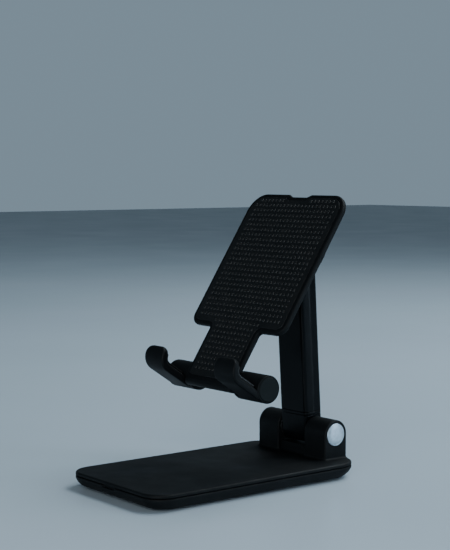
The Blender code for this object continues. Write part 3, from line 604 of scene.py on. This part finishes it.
SLEEVE_HALF_WIDTH = 9.7
SLEEVE_HALF_DEPTH = 5.3
SLEEVE_CORNER = 1.8
SIDE_BULGE = 0.5
SIDE_CROWN = 10  # radius of the middle of the bulge
SLEEVE_TOP_TUCK = 0.5
SLIT = 0.1  # the fine gap that shows between the arm's pieces
RIM_HEIGHT = 7.7
COLLAR_FACE = RIM_HEIGHT + 1.5
COLLAR_TOP = 13.2
KNUCKLE_HALF_WIDTH = 8.6
KNUCKLE_BOTTOM = -6.3
POST_TOP = 74
POST_HEAD = (7.9, 3.9, 0.9)  # half width, half depth, corner
POST_STEM = (6.8, 2.9, 1.2)
FRICTION_POCKET = ((-5.3, 2.7, 49.7), (5.3, 5, 68.3))  # its lowest and highest corners
TOP_BOLT_BORE = 1.9


def arm_section(half_width=SLEEVE_HALF_WIDTH, half_depth=SLEEVE_HALF_DEPTH):
    """The arm across: flat front and back, rounded edges, and sides that bulge a little."""
    share = half_depth / SLEEVE_HALF_DEPTH
    shoulder = half_width - SIDE_BULGE * share
    corner = min(SLEEVE_CORNER, half_depth * 0.85)
    crown = SIDE_CROWN * share
    return rounded(
        [
            (-shoulder, -half_depth, corner),
            (shoulder, -half_depth, corner),
            (half_width, 0, crown),
            (shoulder, half_depth, corner),
            (-shoulder, half_depth, corner),
            (-half_width, 0, crown),
        ]
    )


def make_arm_post():
    """The inner member: a knuckle on the base hinge, a stem, and a head that the collar stops."""
    post = drawn("post", ARM, Z, 0, POST_TOP, rectangle(*POST_STEM), 0.3)
    head_low = COLLAR_TOP + ARM_TRAVEL + GAP
    head = drawn("head", ARM, Z, head_low, POST_TOP - 0.4, rectangle(*POST_HEAD), 0.3)
    round_end = SLEEVE_HALF_DEPTH * 0.99
    top = RIM_HEIGHT - SLIT
    side_view = rounded(
        [
            (-SLEEVE_HALF_DEPTH, top, 0),
            (-SLEEVE_HALF_DEPTH, KNUCKLE_BOTTOM, round_end),
            (SLEEVE_HALF_DEPTH, KNUCKLE_BOTTOM, round_end),
            (SLEEVE_HALF_DEPTH, top, 0),
        ],
        20,
    )
    knuckle = drawn("knuckle", ARM, X, -KNUCKLE_HALF_WIDTH, KNUCKLE_HALF_WIDTH, side_view, 0.7)
    bore = rod("bore", ARM, BASE_BOLT_BORE, -KNUCKLE_HALF_WIDTH - 1, KNUCKLE_HALF_WIDTH + 1)
    pocket = block("pad_pocket", ARM, *FRICTION_POCKET)
    made = shaped(post, *plus(knuckle, head), *minus(bore, pocket))
    return finished(made, "arm_post", ARM_PLASTIC)


def make_arm_sleeve():
    """The outer member: a rounded box that ends in a half round at the top hinge."""
    start = COLLAR_FACE + SLIT
    bevel = 0.12
    levels = [
        (arm_section(SLEEVE_HALF_WIDTH - bevel, SLEEVE_HALF_DEPTH - bevel), start),
        (arm_section(), start + bevel),
    ]
    half_round_steps = 18
    almost_quarter = math.radians(88.2)  # leaves a narrow flat along the top
    for k in range(half_round_steps + 1):
        turn = almost_quarter * k / half_round_steps
        depth = SLEEVE_HALF_DEPTH * math.cos(turn)
        tuck = SLEEVE_TOP_TUCK * (1 - math.cos(turn))
        height = ARM_LENGTH + SLEEVE_HALF_DEPTH * math.sin(turn)
        levels.append((arm_section(SLEEVE_HALF_WIDTH - tuck, depth), height))
    sleeve = lofted("sleeve", ARM, Z, levels)
    head_width, head_depth, _ = POST_HEAD
    cavity = drawn("cavity", ARM, Z, 5, POST_TOP + 3, rectangle(head_width + GAP, head_depth + GAP, 1.2))
    past_sleeve = SLEEVE_HALF_WIDTH + 2
    bore = rod("bore", ARM, TOP_BOLT_BORE, -past_sleeve, past_sleeve, (0, ARM_LENGTH))
    return finished(shaped(sleeve, *minus(cavity, bore)), "arm_sleeve", ARM_PLASTIC)


def make_arm_collar():
    """The rim that closes the sleeve's mouth, with its plug inside the sleeve."""
    collar = drawn("collar", ARM, Z, RIM_HEIGHT, COLLAR_FACE, arm_section(), 0.3)
    plug = drawn("plug", ARM, Z, COLLAR_FACE - OVERLAP, COLLAR_TOP, rectangle(*POST_HEAD))
    stem_width, stem_depth, _ = POST_STEM
    mouth = drawn("mouth", ARM, Z, 5, COLLAR_TOP + 1, rectangle(stem_width + GAP, stem_depth + GAP, 1.5))
    return finished(shaped(collar, *plus(plug), *minus(mouth)), "arm_collar", ARM_PLASTIC)


# ---------------------------------------------------------------- panel

PANEL_HALF = 34
PANEL_TOP = 23.8
PANEL_BOTTOM = -50.3
FRONT = -11.2
FRAME_BACK = FRONT + 2.6
COVER_BACK = FRONT + 4.1
TONGUE_HALF = 17.6
TONGUE_BOTTOM = -78.9
RIM = 2.0
PAD_FRONT = FRONT - 0.2
PAD_BACK = FRONT + 0.5
TONGUE_PAD_END = TONGUE_BOTTOM + RIM + 0.8
NOTCH_FLOOR_HALF = 5.2
NOTCH_MOUTH_HALF = 8
TOP_NOTCH_DEPTH = 1.4
RIB_HALF = 14.6
BAR_HALF = 17.03
BAR_TOP = -74.2
BAR_BOTTOM = -80.4
BARREL = {"y": -4.1, "z": -74, "radius": 6.35}
PIN_BORE = 2.2
BRACKET_SCREWS = [(13 * a, 3.5 * b) for a in (-1, 1) for b in (-1, 1)]
BRACKET_SCREW_RADIUS = 1.2
BRACKET_SCREW_HEAD = 2.1
BRACKET_SCREW_SEAT = FRONT + 1.9
BRACKET_SCREW_END = -4.2
BRACKET = {"inner": 10.6, "outer": 15.7, "radius": 6.2, "lobe": 2.4, "flare": 4.2, "waist": -2.5}
BOLT_POCKET = {"radius": 3.2, "seat": 13.3}
BOLT_HEAD = {"radius": 2.9, "height": 1.6, "socket": 1.45}
BOLT_SHANK = 1.6
NUT_HEIGHT = 1.5
NUT_BORE = 1.75
BACK_COVER_INSET = 2.4
BACK_COVER_CORNER = 5
DOT_PITCH = (2.56, 2.79)
DOT_RADIUS = 0.82
DOT_HEIGHT = 0.42
DOT_MARGIN = 1.15


def panel_outline(inset=0.0, tongue_end=TONGUE_BOTTOM):
    """The T from the front, drawn in by inset, with the shallow notch in its top edge."""
    half = PANEL_HALF - inset
    top = PANEL_TOP - inset
    bottom = PANEL_BOTTOM + inset
    tongue = TONGUE_HALF - inset
    mouth = NOTCH_MOUTH_HALF + inset * 0.4
    floor = NOTCH_FLOOR_HALF + inset * 0.4
    right = [
        (floor, top - TOP_NOTCH_DEPTH, 1.2),
        (mouth, top, 1.2),
        (half, top, 9.8 - inset),
        (half, bottom + 0.15, 5.5 - inset),
        (tongue, bottom, 1.8 + inset),
        (tongue, tongue_end, 2.5 - inset * 0.5),
    ]
    left = [(-a, b, radius) for a, b, radius in reversed(right)]
    return rounded(right + left)


def make_panel_front_frame():
    """The T with its recess for the pad, the rib and bar behind its tongue, and the lugs for the hooks."""
    body = drawn("frame", PANEL, Y, FRONT, FRAME_BACK, panel_outline(), 0.85)
    rib_top = PANEL_BOTTOM - 0.4
    rib_bottom = TONGUE_BOTTOM + 0.4
    rib = rounded(
        [
            (-RIB_HALF, rib_top, 0.6),
            (-RIB_HALF, rib_bottom, 2.5),
            (RIB_HALF, rib_bottom, 2.5),
            (RIB_HALF, rib_top, 0.6),
        ]
    )
    bar_front = FRONT + 0.25
    bar_back = -6.5
    bar = rounded(
        [
            (bar_front, BAR_TOP, 0.5),
            (bar_front, BAR_BOTTOM, 2),
            (bar_back, BAR_BOTTOM, 2),
            (bar_back, BAR_TOP, 1),
        ]
    )
    steps = plus(
        drawn("rib", PANEL, Y, FRAME_BACK - 1.2, COVER_BACK, rib, 0.4),
        drawn("bar", PANEL, X, -BAR_HALF, BAR_HALF, bar, 0.45),
    )
    middle = (BARREL["y"], BARREL["z"])
    for side, _ in SIDES:
        lug = sorted((side * 12.6, side * 16.2))
        shoulder = sorted((side * 15.9, side * TONGUE_HALF))
        pin_hole = sorted((side * 13.5, side * 20))
        steps += plus(rod("lug", PANEL, 4.9, *lug, middle, rim=0.4))
        steps += plus(rod("shoulder", PANEL, BARREL["radius"], *shoulder, middle, rim=0.35))
        steps += minus(rod("pin_hole", PANEL, PIN_BORE, *pin_hole, middle))
    recess = panel_outline(RIM, TONGUE_PAD_END)
    steps += minus(drawn("recess", PANEL, Y, FRONT - 1, PAD_BACK + GAP, recess))
    for spot in BRACKET_SCREWS:
        steps += minus(
            rod("screw_hole", PANEL, BRACKET_SCREW_RADIUS, FRONT, FRAME_BACK + 1, spot, Y),
            rod("screw_pocket", PANEL, BRACKET_SCREW_HEAD, FRONT, BRACKET_SCREW_SEAT, spot, Y),
        )
    return finished(shaped(body, *steps), "panel_front_frame", PANEL_PLASTIC)


def inside(spot, outline):
    """Whether a point lies within an outline."""
    crossings = 0
    for a, b in zip(outline, outline[1:] + outline[:1]):
        if (a.y > spot.y) != (b.y > spot.y):
            if spot.x < a.x + (spot.y - a.y) * (b.x - a.x) / (b.y - a.y):
                crossings += 1
    return crossings % 2 == 1


def dot_spots():
    """The pad's rows of dots, as far as they fit within its edge."""
    field = panel_outline(RIM + GAP + DOT_MARGIN, TONGUE_PAD_END + DOT_MARGIN)
    across, up = DOT_PITCH
    columns = int(PANEL_HALF / across)
    spots = []
    row = PANEL_TOP - RIM - 2
    while row > TONGUE_BOTTOM:
        for column in range(-columns, columns + 1):
            spot = Vector((column * across, row))
            if inside(spot, field):
                spots.append(spot)
        row -= up
    return spots


def make_panel_pad():
    """The silicone pad and its low round dots, each sunk a little into it."""
    outline = panel_outline(RIM + GAP / 2, TONGUE_PAD_END + GAP / 2)
    pad = drawn("dotted_pad", PANEL, Y, PAD_FRONT, PAD_BACK, outline, 0.15)
    sides = 12
    dome = [(1.0, -0.08), (0.97, 0.1), (0.8, 0.55), (0.45, 0.9)]  # shares of the radius and of the height
    work = bmesh.new()
    work.from_mesh(pad.data)
    for spot in dot_spots():
        loops = []
        for share, rise in dome:
            loops.append(
                [
                    work.verts.new((p.x * 0.001, (PAD_FRONT - rise * DOT_HEIGHT) * 0.001, p.y * 0.001))
                    for p in circle(share * DOT_RADIUS, spot, sides)
                ]
            )
        crown = work.verts.new((spot.x * 0.001, (PAD_FRONT - DOT_HEIGHT) * 0.001, spot.y * 0.001))
        for low, high in zip(loops, loops[1:]):
            for i in range(sides):
                work.faces.new((low[i], low[i - 1], high[i - 1], high[i]))
        for i in range(sides):
            work.faces.new((loops[-1][i], loops[-1][i - 1], crown))
        work.faces.new(loops[0])
    work.to_mesh(pad.data)
    work.free()
    return finished(pad, "panel_pad", PAD_RUBBER, 50)


def bracket_side_view():
    """An ear of the top hinge's bracket: a round end on a foot that flares on to the cover."""
    radius = BRACKET["radius"]
    half_round = radius * NEARLY
    lobe = radius + BRACKET["lobe"]
    foot = radius + BRACKET["flare"]
    waist = BRACKET["waist"]
    root = COVER_BACK - 0.9
    heel = COVER_BACK + 0.22
    corners = [
        (root, -foot, 0),
        (heel, -foot, 0),
        (waist, -lobe, 2),
        (radius, -lobe, half_round),
        (radius, radius, half_round),
        (waist, radius, 2),
        (heel, foot, 0),
        (root, foot, 0),
    ]
    return rounded(corners, 14)


def make_panel_back_cover():
    """The flat back with the two ears of the top hinge."""
    low = FRAME_BACK + GAP
    middle = (0, (PANEL_TOP + PANEL_BOTTOM) / 2)
    half_width = PANEL_HALF - BACK_COVER_INSET
    half_height = (PANEL_TOP - PANEL_BOTTOM) / 2 - BACK_COVER_INSET
    outline = rectangle(half_width, half_height, BACK_COVER_CORNER, middle=middle)
    cover = drawn("back_cover", PANEL, Y, low, COVER_BACK, outline, 0.5)
    past_ear = BRACKET["outer"] + 1.3
    steps = []
    for side, _ in SIDES:
        ear_span = sorted((side * BRACKET["inner"], side * BRACKET["outer"]))
        pocket = sorted((side * BOLT_POCKET["seat"], side * past_ear))
        steps += plus(drawn("ear", PANEL, X, *ear_span, bracket_side_view(), 0.5))
        steps += minus(rod("bolt_pocket", PANEL, BOLT_POCKET["radius"], *pocket))
    steps += minus(rod("bore", PANEL, TOP_BOLT_BORE, -past_ear, past_ear))
    for spot in BRACKET_SCREWS:
        steps += minus(rod("blind", PANEL, BRACKET_SCREW_RADIUS, low - 1, BRACKET_SCREW_END, spot, Y))
    return finished(shaped(cover, *steps), "panel_back_cover", PANEL_PLASTIC)


def make_top_hinge():
    """The socket-head bolt and the nut that show in the sides of the bracket."""
    head = BOLT_POCKET["seat"] + GAP
    radius = BOLT_HEAD["radius"]
    top = head + BOLT_HEAD["height"]
    profile = [
        (BOLT_SHANK, -16.8),
        (BOLT_SHANK, head),
        (radius - 0.15, head),
        (radius, head + 0.15),
        (radius, top - 0.4),
        (radius - 0.12, top - 0.15),
        (radius - 0.4, top),
        (POINT, top),
    ]
    bolt = turned("socket_bolt", PANEL, profile)
    socket = drawn("socket", PANEL, X, head + 0.5, top + 1, circle(BOLT_HEAD["socket"], steps=6))
    finished(shaped(bolt, *minus(socket)), "top_hinge_bolt", STEEL)

    nut = drawn("nut", PANEL, X, -head - NUT_HEIGHT, -head, circle(radius, steps=6), 0.2)
    finished(shaped(nut, *minus(rod("thread", PANEL, NUT_BORE, -20, 0))), "top_hinge_nut", STEEL)


# ---------------------------------------------------------------- hooks

HOOK_MIDDLE = 26.45
HOOK_HALF_WIDTH = 7.25
HOOK_HALF_THICK = 1.7
HOOK_CORNER = 4.5
HOOK_FLOOR = -BARREL["radius"] + 0.02
HOOK_FRONT = -22.8
HOOK_BEND = 5.3
HOOK_TIP = 3.4
LINING_HALF_WIDTH = HOOK_HALF_WIDTH - 1.6
LINING_HALF_THICK = 0.45
LINING_START = -6.7
LINING_TIP = 1.6
BARREL_SPAN = (17.9, 34)
BARREL_CAP = {"radius": 5.5, "seat": 32.9, "height": 1.1}
SPRING_POCKET = {"radius": 3.9, "seat": 29}


def hook_path(offset, start, top, steps=12):
    """((y, z), (inward y, inward z), run) along the J's middle line moved inwards by offset, tip last.

    run is the distance left to the tip.
    """
    flat = HOOK_FLOOR + HOOK_HALF_THICK + offset
    centre = Vector((HOOK_FRONT + HOOK_HALF_THICK + HOOK_BEND, HOOK_FLOOR + HOOK_HALF_THICK + HOOK_BEND))
    bend = HOOK_BEND - offset
    spots = [((start, flat), (0, 1))]
    for k in range(steps + 1):
        turn = math.pi / 2 * k / steps
        inward = (math.sin(turn), math.cos(turn))
        spots.append(((centre.x - bend * inward[0], centre.y - bend * inward[1]), inward))
    for k in range(1, steps + 1):
        share = math.sin(math.pi / 2 * k / steps)
        spots.append(((centre.x - bend, centre.y + (top - centre.y) * share), (1, 0)))
    runs = [0.0]
    for (here, _), (before, _) in zip(spots[::-1], spots[-2::-1]):
        runs.append(runs[-1] + (Vector(here) - Vector(before)).length)
    return [(spot, inward, run) for (spot, inward), run in zip(spots, runs[::-1])]


def shrink(run, radius):
    """How much a rounded end of that radius takes off, at a distance from its tip."""
    if run >= radius:
        return 0.0
    return radius - math.sqrt(max(radius**2 - (radius - run) ** 2, 0.0))


def swept(name, middle, half_width, half_thick, path, corner, end_round, edge):
    """A strip along a path, with rounded edges and with a rounded tip in both views."""
    rings = []
    for (y, z), (inward_y, inward_z), run in path:
        width = half_width - shrink(run, corner)
        thick = max(half_thick - shrink(run, end_round), 0.12)
        section = rectangle(width, thick, min(edge, thick * 0.95), 5)
        rings.append([Vector((middle + p.x, y + p.y * inward_y, z + p.y * inward_z)) for p in section])
    return skin(name, BARRELS, rings)


def make_hook(side, word):
    """The barrel and its J-shaped plate, in one piece."""
    inner, outer = BARREL_SPAN
    barrel = rod("barrel", BARRELS, BARREL["radius"], *sorted((side * inner, side * outer)), rim=0.5)
    path = hook_path(0.0, 0.0, HOOK_TIP)
    plate = swept("plate", side * HOOK_MIDDLE, HOOK_HALF_WIDTH, HOOK_HALF_THICK, path, HOOK_CORNER, 1.6, 1.1)
    bore_span = sorted((side * (inner - 1), side * outer))
    pocket_span = sorted((side * SPRING_POCKET["seat"], side * outer))
    seat_span = sorted((side * BARREL_CAP["seat"], side * (outer + 2)))
    bore = rod("bore", BARRELS, PIN_BORE, *bore_span)
    pocket = rod("pocket", BARRELS, SPRING_POCKET["radius"], *pocket_span)
    seat = rod("seat", BARRELS, BARREL_CAP["radius"] + 0.2, *seat_span)
    hook = shaped(barrel, *plus(plate), *minus(bore, pocket, seat))
    hook.name = f"fine_hook_{word}"
    finished(hook, f"hook_{word}", PANEL_PLASTIC)


def make_hook_lining(side, word):
    path = hook_path(HOOK_HALF_THICK + GAP + LINING_HALF_THICK, LINING_START, LINING_TIP)
    middle = side * HOOK_MIDDLE
    lining = swept(f"lining_{word}", middle, LINING_HALF_WIDTH, LINING_HALF_THICK, path, 1.5, 0.4, 0.3)
    finished(lining, f"hook_pad_{word}", FOOT_RUBBER)


def make_barrel_cap(side, word):
    """A flat disc with a rounded edge, sunk in the barrel's outer end."""
    radius = BARREL_CAP["radius"]
    height = BARREL_CAP["height"]
    seat = BARREL_CAP["seat"] + GAP
    edge = [(0, 0.35), (0.08, 0.18), (0.26, 0.06), (0.5, 0.02)]
    profile = [(radius, 0)] + [(radius - inward, height - down) for inward, down in edge] + [(POINT, height)]
    cap = turned(f"end_cap_{word}", BARRELS, [(r, side * (seat + x)) for r, x in profile], 72)
    finished(cap, f"barrel_cap_{word}", CAP_PLASTIC, 40)


# ---------------------------------------------------------------- the stand

make_base_top_cover()
make_base_lower_shell()
make_foot_pad()
make_arm_post()
make_arm_sleeve()
make_arm_collar()
make_panel_front_frame()
make_panel_pad()
make_panel_back_cover()
make_top_hinge()
for hand, hand_word in SIDES:
    make_hinge_cap(hand, hand_word)
    make_hook(hand, hand_word)
    make_hook_lining(hand, hand_word)
    make_barrel_cap(hand, hand_word)

for node_name, node in frame["nodes"].items():
    if not node.hide_render:
        paint(node, BY_SLOT[SLOT_OF[node_name]])

# ---------------------------------------------------------------- studio

MIDDLE_OF_STAND = Vector((0, 0, 0.06))
CAMERA_AZIMUTH = math.radians(51.78)
CAMERA_PITCH = math.radians(4.25)

def make_floor():
    """A pale table top with a slight gloss, large enough to fill the view."""
    surface = Surface("pale_table")
    cloud = surface.noise(3, 3)
    surface.feed(
        Base_Color=surface.ramp(cloud, (0.51, 0.61, 0.69), (0.54, 0.64, 0.72)),
        Roughness=surface.ramp(surface.noise(9, 3), 0.3, 0.36),
    )
    surface.set(Specular_IOR_Level=0.2)
    bpy.ops.mesh.primitive_plane_add(size=8, location=(0, 0, -0.0002))
    floor = bpy.context.object
    floor.name = "table_top"
    paint(floor, surface.material)


def soft_light(name, place, size, power, colour):
    """A rectangular lamp that faces the middle of the stand."""
    data = bpy.data.lights.new(name, "AREA")
    data.shape = "RECTANGLE"
    data.size, data.size_y = size
    data.energy = power
    data.color = colour
    light = bpy.data.objects.new(name, data)
    bpy.context.scene.collection.objects.link(light)
    light.location = place
    light.rotation_euler = (MIDDLE_OF_STAND - Vector(place)).to_track_quat("-Z", "Y").to_euler()


def make_camera():
    """The photo's viewpoint: to the stand's right front, a little above its base."""
    data = bpy.data.cameras.new("camera")
    data.lens = 89.37
    data.sensor_width = 36
    camera = bpy.data.objects.new("camera", data)
    bpy.context.scene.collection.objects.link(camera)
    camera.location = (0.4916, -0.3825, 0.1419)
    camera.rotation_euler = (math.pi / 2 - CAMERA_PITCH, 0, CAMERA_AZIMUTH)
    bpy.context.scene.camera = camera


def make_world():
    """A pale room that grows dimmer from the horizon up."""
    world = bpy.data.worlds.new("soft_room")
    world.use_nodes = True
    nodes = world.node_tree.nodes
    link = world.node_tree.links.new
    direction = nodes.new("ShaderNodeTexCoord")
    height = nodes.new("ShaderNodeSeparateXYZ")
    fade = nodes.new("ShaderNodeValToRGB")
    horizon, overhead = fade.color_ramp.elements
    horizon.position = 0.12
    horizon.color = (0.196, 0.268, 0.330, 1)
    overhead.position = 0.45
    overhead.color = (0.052, 0.070, 0.084, 1)
    link(direction.outputs["Generated"], height.inputs["Vector"])
    link(height.outputs["Z"], fade.inputs["Fac"])
    link(fade.outputs["Color"], nodes["Background"].inputs["Color"])
    bpy.context.scene.world = world


make_floor()
soft_light("overhead", (0.15, 0.75, 1.05), (1.3, 0.8), 16, (0.82, 0.93, 1))
soft_light("right_window", (1.0, 0.8, 0.3), (0.12, 0.6), 3.4, (0.62, 0.82, 1))
soft_light("key", (0.75, -0.6, 0.55), (0.25, 0.25), 2.0, (1, 0.98, 0.96))
soft_light("front_strip", (0.6, -0.95, 0.15), (0.4, 0.5), 4.5, (0.9, 0.96, 1))
make_world()
make_camera()
